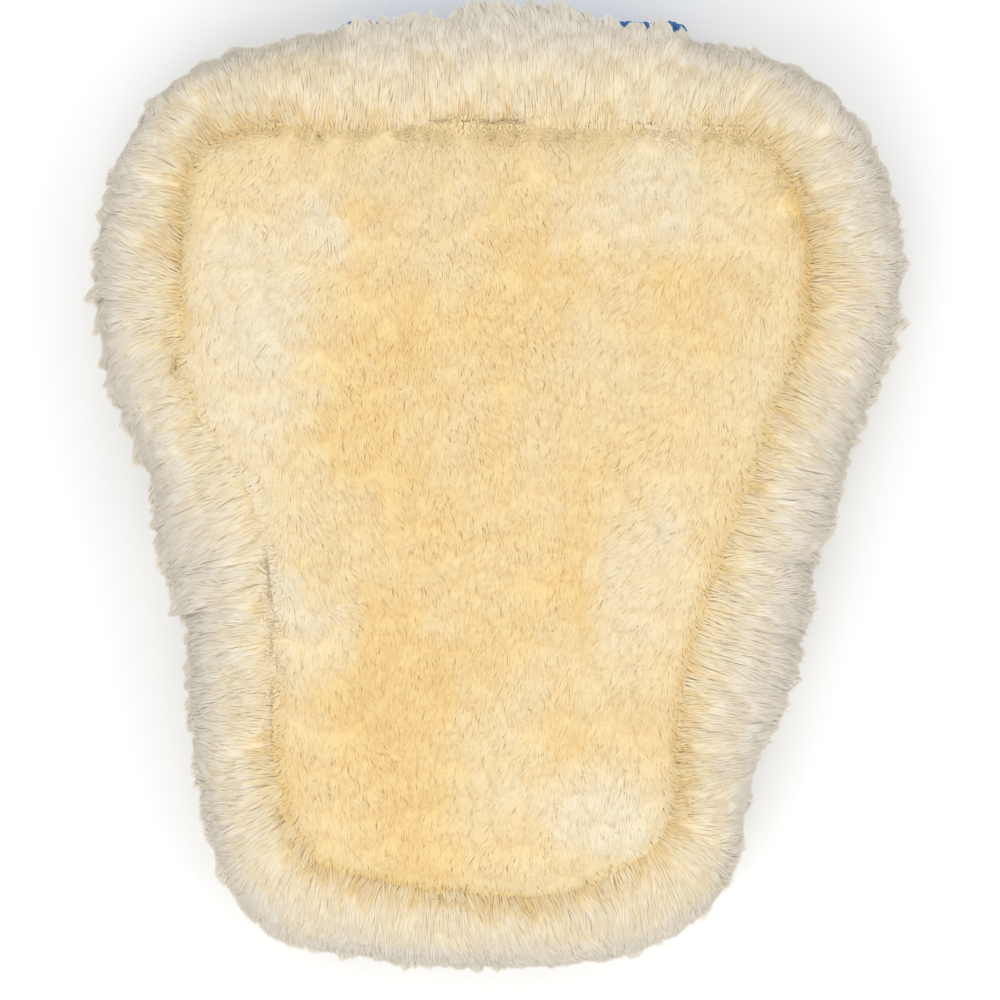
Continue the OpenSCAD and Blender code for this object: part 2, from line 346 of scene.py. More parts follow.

# ---- the palm

# Places where the wool lies over and its sides catch the light, painted paler as painted light: x, y, half
# width, half height, strength
PALE = [(-66, 57, 24, 36, 0.9), (42, 84, 18, 20, 0.8), (-68, -38, 14, 30, 1.0), (-50, -38, 12, 12, 0.7),
        (28, -86, 19, 17, 1.0), (43, -18, 13, 22, 0.7), (62, 82, 10, 14, 0.4), (-72, 0, 12, 30, 0.4)]
# Places where the golden wool near the skin shows through, painted darker golden also as the shade in that
# depth, in the same form
GOLD_AND_SHADE = [(-29, 30, 20, 58, 0.8), (-32, -62, 22, 56, 0.9), (8, 66, 14, 34, 0.6), (55, 50, 16, 14, 0.6),
        (20, -20, 11, 52, 0.5), (-60, -75, 14, 22, 0.4), (-4, -14, 24, 44, 0.5)]
PALE_SEED, GOLD_AND_SHADE_SEED = 31, 33
PALM_BLADES = 270000
EDGE_BLADES = 290000
COUNT = 1.0

UNDER = 0.5          # mm from the hair tips down to the undercoat
GROOVE_WIDE = 3.6    # mm from the seam to where the groove's side levels out
GROOVE_DIP = 4.2     # mm depth of the groove where it is fully open
SHUT_DIP = 0.3       # mm depth of what is left of it where it is shut
BELOW_TOP = 1.3      # mm from the CAD's top to the middle of the palm, room for the hair that stands up
DOME = 3.0           # mm rise of the palm from its seam to its middle
DOME_REACH = 16.0    # mm from the seam over which most of that rise comes

LOCK = 8.0           # mm between locks of wool on the palm
TUFT = 2.0           # mm between the tufts within them
NAP = 3.9            # mm that a hair lies over
TO_TUFT = 0.24       # part of the way that a tip leans to the middle of its tuft
FEATHER = 4.0        # mm past the seam at which the last of the palm's hair grows
PALM_WIDTHS = np.array([0.24, 0.26, 0.24, 0.05])   # mm, from root to tip

def groove_depth(x, y, distance):
    """How deep each point lies in the stitched groove, from 0 on its rim to 1 in its middle. The wool
    falls over it unevenly, so it wanders and its width varies."""
    wander = 1.3 * noise(x, y, 35, 14) + 0.6 * noise(x, y, 36, 5)
    wide = GROOVE_WIDE * (1 + 0.35 * noise(x, y, 37, 11))
    return np.exp(-(((distance + wander) / wide) ** 2))

def patches(x, y, places, seed):
    """How strongly each point lies in one of the places, with ragged soft edges."""
    total = np.zeros_like(x)
    ragged = 1 + 0.40 * noise(x, y, seed, 16) + 0.22 * noise(x, y, seed + 1, 5)
    for px, py, half_x, half_y, strength in places:
        inside = 1 - smooth(np.hypot((x - px) / half_x, (y - py) / half_y) * ragged, 0.35, 1.35)
        total = np.maximum(total, strength * inside)
    return total

def palm_height(x, y):
    """Height of the hair tips over the palm and in the groove."""
    distance = seam_distance(x, y)
    dip = (SHUT_DIP + GROOVE_DIP * open_groove(np.arctan2(y, x))) * groove_depth(x, y, distance)
    dome = -DOME * np.exp(np.minimum(distance, 0) / DOME_REACH)
    waves = 0.9 * noise(x, y, 3, 34) + 0.5 * noise(x, y, 4, 13)
    return PALM_TOP - BELOW_TOP + dome + waves - dip

def palm_roots(rng, count):
    """Where the palm's hair grows: evenly on the palm, and thinning out past its seam."""
    low, high = SEAM.min(0) - 4, SEAM.max(0) + 4
    x = rng.uniform(low[0], high[0], count * 2)
    y = rng.uniform(low[1], high[1], count * 2)
    distance = seam_distance(x, y)
    inside = distance < FEATHER * rng.random(count * 2) ** 1.5
    return x[inside][:count], y[inside][:count], distance[inside][:count]

def palm_nap(rng, x, y, distance, pale, lock, tuft):
    """How far each tip lies from its root, along X and Y: down the palm, in swirls, and near the seam
    outwards over it."""
    n = len(x)
    turn = (-90 + 38 * noise(x, y, 12, 40) + 34 * (chance(*lock, 21) - 0.5) + 44 * (chance(*tuft, 22) - 0.5)
            + 60 * pale * noise(x, y, 14, 16) + rng.normal(0, 11, n))
    reach = (NAP + 1.2 * chance(*lock, 23) + 0.9 * (chance(*tuft, 24) - 0.5) + 1.6 * pale
             + rng.normal(0, 0.5, n))
    nap_x, nap_y = reach * np.cos(np.radians(turn)), reach * np.sin(np.radians(turn))
    near = np.exp(-((distance / 5.0) ** 2))
    out = at_theta(OUT, np.arctan2(y, x))
    pull = 2.4 * smooth(distance, 1.5, -2.5)
    return nap_x * (1 - near) + pull * near * out[:, 0], nap_y * (1 - near) + pull * near * out[:, 1]

def palm_wool(count):
    """The shorn wool of the palm."""
    rng = np.random.default_rng(11)
    x, y, distance = palm_roots(rng, count)
    n = len(x)
    opening = open_groove(np.arctan2(y, x))
    # pale also lengthens and swirls the nap; in the tone it is painted light
    pale = patches(x, y, PALE, PALE_SEED)
    # golden wool near the skin, with painted shade of the depth
    gold_and_shade = patches(x, y, GOLD_AND_SHADE, GOLD_AND_SHADE_SEED) * (1 - pale)
    rim = np.exp(np.minimum(distance, 0) / 10.0) * (1 - opening)
    lock_x, lock_y, *lock = clumps(x, y, LOCK, 5)
    tuft_x, tuft_y, *tuft = clumps(x, y, TUFT, 8)
    nap_x, nap_y = palm_nap(rng, x, y, distance, pale, lock, tuft)
    # one lock in eight is drawn well together, which leaves a parting round it
    to_lock = 0.04 + 0.22 * (chance(*lock, 27) > 0.88)
    tip_x = x + (tuft_x - x) * TO_TUFT + (lock_x - x) * to_lock + nap_x
    tip_y = y + (tuft_y - y) * TO_TUFT + (lock_y - y) * to_lock + nap_y
    off_tuft = np.hypot(tuft_x - x, tuft_y - y)
    off_lock = np.hypot(lock_x - x, lock_y - y) / (LOCK / 2)
    lie = 0.40 * (chance(*tuft, 25) - 0.5) - 0.12 * off_tuft ** 2 - 0.5 * off_lock ** 2 + 0.5
    tip_z = palm_height(tip_x, tip_y) + lie + rng.normal(0, 0.12, n)
    tip_z = np.minimum(tip_z, PALM_TOP + 0.6)
    root_z = palm_height(x, y) - UNDER - 0.7
    root = np.stack([x, y, root_z], 1)
    tip = np.stack([tip_x, tip_y, tip_z], 1)
    lift = np.stack([x + (tip_x - x) * 0.35, y + (tip_y - y) * 0.35, root_z + UNDER + 1.1], 1)
    path = bent(root, lift, tip, BLADE_POINTS)
    tilt = 0.06 * np.stack([x - tuft_x, y - tuft_y], 1) + 0.03 * rng.normal(0, 1, (n, 2))
    up = unit(np.concatenate([tilt, np.ones((n, 1))], 1))
    width = PALM_WIDTHS[None, :] * (0.8 + 0.4 * rng.random(n))[:, None]
    # painted shade: the tone drops towards the edge of each lock, as in the partings between locks
    tone = (0.53 + 0.32 * pale - 0.27 * gold_and_shade + 0.08 * rim + 0.05 * (chance(*tuft, 26) - 0.5)
            + 0.09 * noise(x, y, 15, 22) + 0.07 * noise(x, y, 16, 8) - 0.05 * off_lock
            + 0.04 * (rng.random(n) - 0.5))
    # In the open groove the tone drops towards golden: the wool's golden depth and painted shade in the
    # crease.
    tone = np.clip(tone * (1 - 0.76 * opening * groove_depth(x, y, distance)), 0, 1)
    order = np.argsort(y)
    blades("palm_wool", path[order], up[order], width[order], tone[order],
           ["palm_pile"], PALM_WOOL)

# ---- the rolled edge

def at_mouth(arc):
    """1 along the hood over the cuff and 0 elsewhere."""
    edge = at_theta(EDGE, theta_of(arc))
    low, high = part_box("border_pile_mouth")
    start, end = low.x / MM, high.x / MM
    inside = smooth(edge[:, 0], start - 2, start + 3) * (1 - smooth(edge[:, 0], end - 3, end + 2))
    return inside * (edge[:, 1] > 0)

# Distance round the section of the edge, in millimetres, at each angle about its middle, in degrees
SECTION_TURN = [-118, 0, 90, 180]
SECTION_WAY = [-37, 0, 28, 43]
# How thickly the wool grows at each distance round the section
GROWTH_WAY = [-37, -20, -8, 4, 14, 43]
GROWTH = [0.6, 0.8, 1.0, 1.0, 1.0, 1.0]

CROWN = 0.46         # where the edge is highest, as a part of its width
GROOVE_FOOT = 0.22   # how far the open groove cuts into the roll's height
HOOD_LIFT = 12       # mm by which the hood over the cuff is widest above the rest of the edge
HOOD_CLEARANCE = 1.5 # mm from the palm's skin down to the hood's underside

def roll(arc, phi):
    """The point where the hair tips lie, and the way out of the wool there. phi is the angle about the
    middle of the roll: 0 is straight out, pi/2 straight up and pi over the palm seam."""
    theta = theta_of(arc)
    out = at_theta(OUT, theta)
    radial = np.stack([np.cos(theta), np.sin(theta)], 1)
    w = (at_theta(R_EDGE, theta) - at_theta(R_SEAM, theta)) * (radial * out).sum(1)
    mouth = at_mouth(arc)
    c, s = np.cos(phi), np.sin(phi)
    mid = ROLL_MID + mouth * HOOD_LIFT
    low = mouth * (PELT_TOP + HOOD_CLEARANCE)
    foot = 1.0 - GROOVE_FOOT * open_groove(theta)
    inner = phi > np.pi / 2
    r = np.where(inner, CROWN * w * (1 + c), CROWN * w + (1 - CROWN) * w * c)
    rise = foot + (1 - foot) * np.maximum(s, 0) ** 0.8
    z = np.where(inner, PELT_TOP + (ROLL_TOP - PELT_TOP) * rise, mid + (ROLL_TOP - mid) * s)
    r = np.where(phi < 0, 0.56 * w + 0.44 * w * c, r)
    z = np.where(phi < 0, mid + (mid - low) * s, z)
    z = np.where(phi < -np.pi / 2, low + 6.0 * (1 - np.abs(s)) * (1 - mouth), z)
    core_r = 0.42 * w + 0.30 * w * c
    core_z = (mid + 1.0) * (1 - mouth) + mouth * (PELT_TOP + 7.5) + (14 - 7.5 * mouth) * s
    seam = at_theta(SEAM, theta)
    tips = np.concatenate([seam + out * r[:, None], z[:, None]], 1)
    core = np.concatenate([seam + out * core_r[:, None], core_z[:, None]], 1)
    return tips, unit(tips - core)

def edge_tone(points):
    """The edge wool's tone, from 0 in the groove, golden wool with painted shade, to 1 at the outline, greyer
    there as painted shade on its curve.
    """
    theta = np.arctan2(points[:, 1], points[:, 0])
    w = at_theta(R_EDGE, theta) - at_theta(R_SEAM, theta)
    x, y = points[:, 0], points[:, 1]
    wander = 1.6 * noise(x, y, 35, 14) + 0.8 * noise(x, y, 36, 5)
    part = (seam_distance(x, y) + wander) / w
    # the groove's tone: golden wool, darker where the groove is open, as painted shade
    golden = 0.28 - 0.18 * open_groove(theta)
    tone = golden + (0.54 - golden) * smooth(part, 0.0, 0.42) + 0.42 * smooth(part, 0.38, 0.88)
    # Towards the toe the tone is lowered, lightening the outline's painted shade on the side the light falls
    # from; towards the mouth it is lowered too.
    near_toe = 1 - smooth(y, -125, -60)
    near_mouth = smooth(y, 80, 112)
    tone = tone * (1 - 0.24 * near_toe - 0.26 * near_mouth)
    # painted shade: the greyer outline tone stays on top; below 14 to 30 mm the sides take the plain ivory at
    # 0.62
    above = smooth(points[:, 2], 14, 30)
    return tone * above + 0.62 * (1 - above)

EDGE_LOCK = 7.0      # mm between locks on the edge
EDGE_TUFT = 2.2      # mm between the tufts within them
EDGE_POINT = 8.5     # mm between the soft points of the outline
POINT_LEAN = 2.2     # mm that the points lean along the outline
RAGGED_LEAN = 2.5    # mm that the long points beside the palm lean further
EDGE_NAP = 8.5       # mm that a hair lies over
OVER_CUFF = 3.0      # mm by which the hood's middle hangs further over the cuff
EDGE_WIDTHS = np.array([0.28, 0.30, 0.27, 0.05])   # mm, from root to tip

def whole_cells(size):
    """The cell size nearest to size that goes round the outline a whole number of times, and that number."""
    number = round(ROUND / size)
    return ROUND / number, number

def edge_roots(rng, count):
    """Where the edge's hair grows: the place along the outline, the distance round the section, and its
    angle. Nothing grows under the hood, where the cuff is."""
    pool = count * 2
    arc = rng.uniform(0, ROUND, pool)
    way = rng.uniform(SECTION_WAY[0], SECTION_WAY[-1] - 0.3, pool)
    phi = np.radians(np.interp(way, SECTION_WAY, SECTION_TURN))
    keep = rng.random(pool) < np.interp(way, GROWTH_WAY, GROWTH)
    keep &= ~((at_mouth(arc) > 0.5) & (phi < np.radians(-80)))
    return arc[keep][:count], way[keep][:count], phi[keep][:count]

def edge_tips(rng, arc, way, outer, over, lock, tuft):
    """Where the tips come to lie, as the place along the outline and the distance round the section, and
    how far each stands proud of the others."""
    n = len(arc)
    lock_u, lock_v, *lock_name = lock
    tuft_u, tuft_v, *tuft_name = tuft
    sway = (4.0 * noise(arc, way, 51, 30) + 4.0 * (chance(*lock_name, 52) - 0.5)
            + 2.0 * (chance(*tuft_name, 53) - 0.5) + 1.5 * outer)
    to_lock, to_tuft = 0.14 + 0.18 * outer, 0.20
    tip_u = arc + (tuft_u - arc) * to_tuft + (lock_u - arc) * to_lock + sway + rng.normal(0, 0.5, n)
    # the outline runs to soft points, long ones beside the upper half of the palm
    point_cell, points_round = whole_cells(EDGE_POINT)
    point_u, _, point_name, _ = clumps(arc, np.zeros(n), point_cell, 61, points_round)
    place = at_theta(EDGE, theta_of(arc))
    ragged = smooth(place[:, 1], 18, 38) * (1 - smooth(place[:, 1], 78, 92))
    ragged = ragged * np.where(place[:, 0] < 0, 1, 0.6)
    tip_u = tip_u + (point_u + POINT_LEAN - tip_u) * 0.30 * outer + RAGGED_LEAN * ragged * outer
    off_point = np.abs(tip_u - point_u - POINT_LEAN - RAGGED_LEAN * ragged * outer) / (point_cell / 2)
    tip_way = way + (tuft_v - way) * to_tuft + (lock_v - way) * to_lock - over + rng.normal(0, 0.6, n)
    off_lock = np.hypot(lock_u - arc, lock_v - way) / (whole_cells(EDGE_LOCK)[0] / 2)
    off_tuft = np.hypot(tuft_u - arc, tuft_v - way)
    proud = ((0.4 + 2.8 * outer) * (chance(*lock_name, 55) - 0.5)
             + (0.3 + 0.7 * outer) * (chance(*tuft_name, 56) - 0.5)
             - (0.5 + 0.8 * outer) * (off_lock ** 2 - 0.5) - 0.09 * off_tuft ** 2 + rng.normal(0, 0.14, n))
    length = 0.9 + 2.3 * ragged + 0.8 * (chance(point_name, point_name, 62) - 0.5)
    proud += outer * length * (1.1 - 2.0 * off_point)
    hangs = smooth(place[:, 0], -17, -9) * (1 - smooth(place[:, 0], 21, 29))
    proud += outer * at_mouth(arc) * OVER_CUFF * hangs
    return tip_u, tip_way, proud, off_lock

def edge_wool(count):
    """The edge's longer wool: each blade's place along the outline, path, facing, width and tone."""
    rng = np.random.default_rng(23)
    arc, way, phi = edge_roots(rng, count)
    n = len(arc)
    turn = np.degrees(phi)
    lock_cell, locks_round = whole_cells(EDGE_LOCK)
    tuft_cell, tufts_round = whole_cells(EDGE_TUFT)
    lock = clumps(arc, way, lock_cell, 41, locks_round)
    tuft = clumps(arc, way, tuft_cell, 44, tufts_round)
    # outer is 1 on the side of the edge and 0 on its top, and stand is 1 where the outline is
    outer = 1 - smooth(turn, 12, 62)
    stand = outer * smooth(turn, -50, -8)
    depth = 1.7 + 0.8 * outer + 0.9 * stand - 0.6 * smooth(turn, 140, 172)
    over = (EDGE_NAP - 1.2 * outer - 1.0 * stand + 1.6 * (chance(*lock[2:], 54) - 0.5)
            - 3.5 * smooth(turn, 138, 172) * rng.random(n))
    tip_u, tip_way, proud, off_lock = edge_tips(rng, arc, way, outer, over, lock, tuft)
    base, outward = roll(arc, phi)
    # where the two wools meet, the first roots lie unevenly, on both sides of the seam
    back = 3.0 * smooth(turn, 150, 176) * rng.random(n)
    base[:, :2] -= at_theta(OUT, theta_of(arc)) * back[:, None]
    root = base - outward * depth[:, None]
    tip, tip_out = roll(tip_u, np.radians(np.interp(tip_way, SECTION_WAY, SECTION_TURN)))
    tip = tip + tip_out * proud[:, None]
    lift = root + (tip - root) * 0.35 + outward * (0.55 * depth)[:, None]
    path = bent(root, lift, tip, BLADE_POINTS)
    path[:, :, 2] = np.maximum(path[:, :, 2], 0.25 + 0.3 * rng.random(n)[:, None])
    facing = (0.22 * smooth(turn, -60, -10) + 0.68 * smooth(turn, -10, 80))[:, None]
    around = unit(at_theta(ALONG, theta_of(arc)))
    tilt = np.concatenate([around * (0.05 * (arc - lock[0]))[:, None], np.zeros((n, 1))], 1)
    up = unit(outward * (1 - facing) + UPWARD * facing + tilt + 0.03 * rng.normal(0, 1, (n, 3)))
    width = EDGE_WIDTHS[None, :] * (0.8 + 0.4 * rng.random(n))[:, None]
    tone = edge_tone(0.4 * root + 0.6 * tip)
    # painted shade: the tone drops towards the edge of each lock, as in the partings between locks
    tone = np.clip(tone + 0.08 * (chance(*lock[2:], 57) - 0.5) + 0.04 * (chance(*tuft[2:], 58) - 0.5)
                   - 0.07 * off_lock ** 2 + 0.05 * (rng.random(n) - 0.5), 0, 1)
    return arc, path, up, width, tone

def strip_angles():
    """The directions of the four joins between the edge strips, from their stitches."""
    stitches = vertices("strip_join_stitches")
    joins = []
    for sx, sy in ((1, 1), (-1, 1), (-1, -1), (1, -1)):
        here = stitches[(stitches[:, 0] * sx > 0) & (stitches[:, 1] * sy > 0)]
        joins.append(float(np.arctan2(here[:, 1].mean(), here[:, 0].mean()) % TURN))
    return joins

def edge_strips(count):
    """The edge wool, in one set of pieces for each strip of lambskin."""
    arc, path, up, width, tone = edge_wool(count)
    theta = theta_of(arc)
    a, b, c, d = strip_angles()
    strips = {"mouth": (theta >= a) & (theta < b), "left": (theta >= b) & (theta < c),
              "toe": (theta >= c) & (theta < d), "right": (theta >= d) | (theta < a)}
    for name, rows in strips.items():
        blades(f"edge_wool_{name}", path[rows], up[rows], width[rows], tone[rows],
               [f"border_pile_{name}"], BORDER_WOOL)

# ---- undercoat, below the blades

PALM_SPOKES = 180
EDGE_SPOKES = 240
EDGE_STEP = 12       # degrees between the rings of the edge's undercoat
# How far inside the seam the first rings of the palm's undercoat lie, in mm; negative is outside it
SEAM_RINGS = (-3.4, -1.4, -0.4, 0.6, 1.8, 3.2, 5.0, 7.5)
EVEN_FROM = 11.0     # mm inside the seam, from where the rings come evenly together in the middle
EVEN_STEP = 4.0      # hundredths of the way to the middle between those rings
# How far below the hair tips the edge's undercoat lies, in mm, by angle about the roll
EDGE_UNDER_TURN, EDGE_UNDER = [20, 60, 168], [2.3, 1.5, 0.9]

def grid_mesh(name, points, closed_u, closed_v, caps=()):
    """A mesh through a (rows, columns, 3) grid in millimetres."""
    rows, cols, _ = points.shape
    faces = []
    for i in range(rows if closed_u else rows - 1):
        for j in range(cols if closed_v else cols - 1):
            here, below = i * cols, (i + 1) % rows * cols
            after = (j + 1) % cols
            faces.append((here + j, here + after, below + after, below + j))
    return smooth_mesh(name, points.reshape(-1, 3), faces + list(caps))

def smooth_mesh(name, points, faces):
    """A smooth-shaded piece from points in millimetres and faces."""
    mesh = bpy.data.meshes.new(name)
    mesh.from_pydata((points * MM).tolist(), [], faces)
    mesh.update()
    mesh.polygons.foreach_set("use_smooth", np.ones(len(mesh.polygons), bool))
    return new_object(name, mesh)

def place_piece(piece, material, slot_name, *node_names):
    """Gives a piece its material, its body and the CAD nodes that it stands for; slot_name is not used."""
    piece.data.materials.append(material)
    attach(piece, BODY)
    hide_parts(*node_names)

def set_tone(piece, tone):
    """Stores a tone at each vertex, which the undercoat materials read."""
    layer = piece.data.attributes.new("tone", "FLOAT", "POINT")
    layer.data.foreach_set("value", tone.astype(np.float32))

def palm_undercoat():
    """The dense wool under the palm's tips. Past the seam it dips under the edge's undercoat."""
    theta = np.arange(PALM_SPOKES) * TURN / PALM_SPOKES
    reach = at_theta(R_SEAM, theta)
    radii = [reach - inset for inset in SEAM_RINGS]
    radii += [(reach - EVEN_FROM) * (1 - part / 100.0) for part in np.arange(0, 99, EVEN_STEP)]
    sink = [max(0, -0.8 - inset) for inset in SEAM_RINGS] + [0] * (len(radii) - len(SEAM_RINGS))
    rings = []
    for radius, lower in zip(radii, sink):
        x, y = radius * np.cos(theta), radius * np.sin(theta)
        rings.append(np.stack([x, y, palm_height(x, y) - UNDER - lower], 1))
    floor = rings[0].copy()
    floor[:, 2] = PELT_TOP + 2.0
    points = np.stack([floor] + rings)
    rows, cols, _ = points.shape
    caps = [tuple(range(cols - 1, -1, -1)), tuple((rows - 1) * cols + j for j in range(cols))]
    palm = grid_mesh("palm_undercoat", points, False, True, caps)
    x, y = points[:, :, 0].ravel(), points[:, :, 1].ravel()
    groove_gold_and_shade = open_groove(np.arctan2(y, x)) * groove_depth(x, y, seam_distance(x, y))
    tone = 0.5 + 0.3 * patches(x, y, PALE, PALE_SEED) - 0.2 * patches(x, y, GOLD_AND_SHADE, GOLD_AND_SHADE_SEED)
    # near the groove the undercoat is darker golden: golden wool and painted shade
    set_tone(palm, tone * (1 - 0.7 * groove_gold_and_shade))
    place_piece(palm, PALM_UNDERCOAT, "palm_wool", "palm_pile")

def edge_undercoat():
    """The dense wool under the edge's tips, closed under the palm's undercoat, where it can't be seen."""
    arcs = np.arange(EDGE_SPOKES) * ROUND / EDGE_SPOKES
    theta = theta_of(arcs)
    rows = []
    for turn in np.arange(168, -121, -EDGE_STEP):
        tips, outward = roll(arcs, np.full(EDGE_SPOKES, np.radians(turn)))
        rows.append(tips - outward * np.interp(turn, EDGE_UNDER_TURN, EDGE_UNDER))
    wide = at_theta(R_EDGE, theta) - at_theta(R_SEAM, theta)
    inside = np.full(EDGE_SPOKES, -4.0)
    base = np.full(EDGE_SPOKES, PELT_TOP + 3.0)
    for aside, level in ((0.2 * wide, base), (inside, base), (inside, rows[0][:, 2] - 1.8)):
        xy = at_theta(SEAM, theta) + at_theta(OUT, theta) * aside[:, None]
        rows.append(np.column_stack([xy, level]))
    points = np.stack(rows, 1)
    edge = grid_mesh("edge_undercoat", points, True, True)
    set_tone(edge, edge_tone(points.reshape(-1, 3)))
    place_piece(edge, EDGE_UNDERCOAT, "border_wool", *BORDERS)

# ---- woven, knitted and leather materials

def fabric(name, dark, light, pitch, roughness, sheen, depth=0.5):
    """A plain weave with threads pitch metres apart, and slow changes of colour over it."""
    material, tree, shader = node_material(name, roughness, sheen, light)
    place = tree.nodes.new("ShaderNodeTexCoord")
    threads = []
    for direction in ("X", "Y"):
        wave = tree.nodes.new("ShaderNodeTexWave")
        wave.bands_direction = direction
        wave.inputs["Scale"].default_value = 0.1 * math.pi / pitch
        wave.inputs["Distortion"].default_value = 0.6
        tree.links.new(place.outputs["Object"], wave.inputs["Vector"])
        threads.append(wave.outputs["Fac"])
    crossing = tree.nodes.new("ShaderNodeMath")
    crossing.operation = "MULTIPLY"
    tree.links.new(threads[0], crossing.inputs[0])
    tree.links.new(threads[1], crossing.inputs[1])
    cloud = tree.nodes.new("ShaderNodeTexNoise")
    cloud.inputs["Scale"].default_value = 60
    tree.links.new(place.outputs["Object"], cloud.inputs["Vector"])
    woven = mixed(tree, dark, light, crossing.outputs[0])
    faded = ramp(tree, [(0.3, (0.86, 0.86, 0.86)), (0.7, (1.0, 1.0, 1.0))], cloud.outputs["Fac"])
    tree.links.new(mixed(tree, woven, faded, 1.0, "MULTIPLY"), shader.inputs["Base Color"])
    raised(tree, shader, crossing.outputs[0], 0.0002, depth)
    return material

def raised(tree, shader, height, distance, strength):
    """Bump from a height socket."""
    bump = tree.nodes.new("ShaderNodeBump")
    bump.inputs["Distance"].default_value = distance
    bump.inputs["Strength"].default_value = strength
    tree.links.new(height, bump.inputs["Height"])
    tree.links.new(bump.outputs["Normal"], shader.inputs["Normal"])

def mottled(name, dark, light, grain, roughness, sheen, depth):
    """A surface of fine grain, grain being its features to the metre, such as suede or spun thread."""
    material, tree, shader = node_material(name, roughness, sheen, light)
    place = tree.nodes.new("ShaderNodeTexCoord")
    fine = tree.nodes.new("ShaderNodeTexNoise")
    fine.inputs["Scale"].default_value = grain
    fine.inputs["Detail"].default_value = 5
    broad = tree.nodes.new("ShaderNodeTexNoise")
    broad.inputs["Scale"].default_value = grain / 12
    for texture in (fine, broad):
        tree.links.new(place.outputs["Object"], texture.inputs["Vector"])
    colour = mixed(tree, dark, light, ramp(tree, [(0.3, (0, 0, 0)), (0.7, (1, 1, 1))], fine.outputs["Fac"]))
    worn = ramp(tree, [(0.35, (0.84, 0.84, 0.84)), (0.65, (1.0, 1.0, 1.0))], broad.outputs["Fac"])
    tree.links.new(mixed(tree, colour, worn, 1.0, "MULTIPLY"), shader.inputs["Base Color"])
    raised(tree, shader, fine.outputs["Fac"], 0.0003, depth)
    return material

SUEDE = mottled("suede", (0.52, 0.37, 0.20), (0.72, 0.56, 0.35), 900, 0.9, 0.3, 0.6)
KNIT_YARN = mottled("knit_yarn", (0.03, 0.12, 0.34), (0.07, 0.23, 0.54), 1600, 0.85, 0.15, 0.5)
STRAW_THREAD = mottled("straw_thread", (0.62, 0.46, 0.22), (0.82, 0.67, 0.41), 2500, 0.6, 0.1, 0.4)
BLUE_THREAD = mottled("blue_thread", (0.04, 0.13, 0.38), (0.08, 0.22, 0.56), 2500, 0.6, 0.1, 0.4)
BACK_CLOTH = fabric("back_cloth", (0.03, 0.10, 0.30), (0.08, 0.23, 0.56), 0.0007, 0.65, 0.2)
LINING_CLOTH = fabric("lining_cloth", (0.40, 0.49, 0.64), (0.62, 0.70, 0.82), 0.0005, 0.7, 0.15)
TAPE = fabric("twill_tape", (0.02, 0.05, 0.16), (0.06, 0.12, 0.33), 0.0006, 0.7, 0.15)
BRAID = fabric("elastic_braid", (0.62, 0.62, 0.60), (0.88, 0.88, 0.86), 0.0009, 0.6, 0.1, 0.8)

CARRIED_OVER = {
    "palm_pelt": SUEDE,
    "border_pelt_mouth": SUEDE,
    "border_pelt_left": SUEDE,
    "border_pelt_toe": SUEDE,
    "border_pelt_right": SUEDE,
    "cuff_elastic": BRAID,
    "mouth_binding": TAPE,
    "cuff_seam": BLUE_THREAD,
    "strip_join_stitches": STRAW_THREAD,
}

def finish_carried_over():
    """Gives the CAD nodes that stay their materials."""
    for name, material in CARRIED_OVER.items():
        for place in NODES[name].material_slots:
            place.material = material

# ---- the knitted cuff

RIBS = 92
RIB_COLUMNS = 6
ROW_STEP = 0.45      # mm between the rows of points along the cuff
LOOP_LENGTH = 1.35   # mm from one knitted loop to the next
LAYER = 1.0          # mm thickness of the knit
SLOT = 0.6           # mm between the two layers
RIB_HEIGHT = 0.55    # mm
LOOP_HEIGHT = 0.12   # mm
GATHER = 0.45        # mm depth of the folds that the elastic draws in

def oval(part, inset):
    """Points on the cuff's section in millimetres, inset from its outside, part running from 0 to 1
    round it."""
    low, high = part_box("knit_cuff")
    wide, tall = (high.x - low.x) / MM, (high.z - low.z) / MM
    straight, bend, radius = wide - tall, np.pi * tall / 2, tall / 2
    way = part % 1 * 2 * (straight + bend)
    stretches = [way < straight, way < straight + bend, way < 2 * straight + bend]
    angle = np.select(stretches, [np.full_like(way, np.pi / 2), np.pi / 2 + (way - straight) / radius,
                                  np.full_like(way, 1.5 * np.pi)],
                      1.5 * np.pi + (way - 2 * straight - bend) / radius)
    across = np.select(stretches, [straight / 2 - way, np.full_like(way, -straight / 2),
                                   way - 1.5 * straight - bend], straight / 2)
    x = (low.x + high.x) / 2 / MM + across + np.cos(angle) * (radius - inset)
    z = (low.z + high.z) / 2 / MM + np.sin(angle) * (radius - inset)
    return x, z

def cuff_profile():
    """Rows down the outer face, over the fold and back up the inner face, and then between the layers:
    the place along Y, the depth below the outer face, and the turn of the face, 0 outer and pi inner."""
    low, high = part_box("knit_cuff")
    start, end = low.y / MM, high.y / MM
    thick = 2 * LAYER + SLOT
    bend = thick / 2
    run = np.arange(start, end - bend, ROW_STEP)
    fold = np.radians(np.arange(0, 181, 20))
    rows = [(y, 0.0, 0.0) for y in run]
    rows += [(end - bend + bend * math.sin(a), bend - bend * math.cos(a), a) for a in fold]
    rows += [(y, thick, math.pi) for y in run[::-1]]
    inner_end = end - LAYER
    rows += [(start, thick - LAYER, None), (inner_end - 0.3, thick - LAYER, None), (inner_end, bend, None),
             (inner_end - 0.3, LAYER, None), (start, LAYER, None)]
    return rows

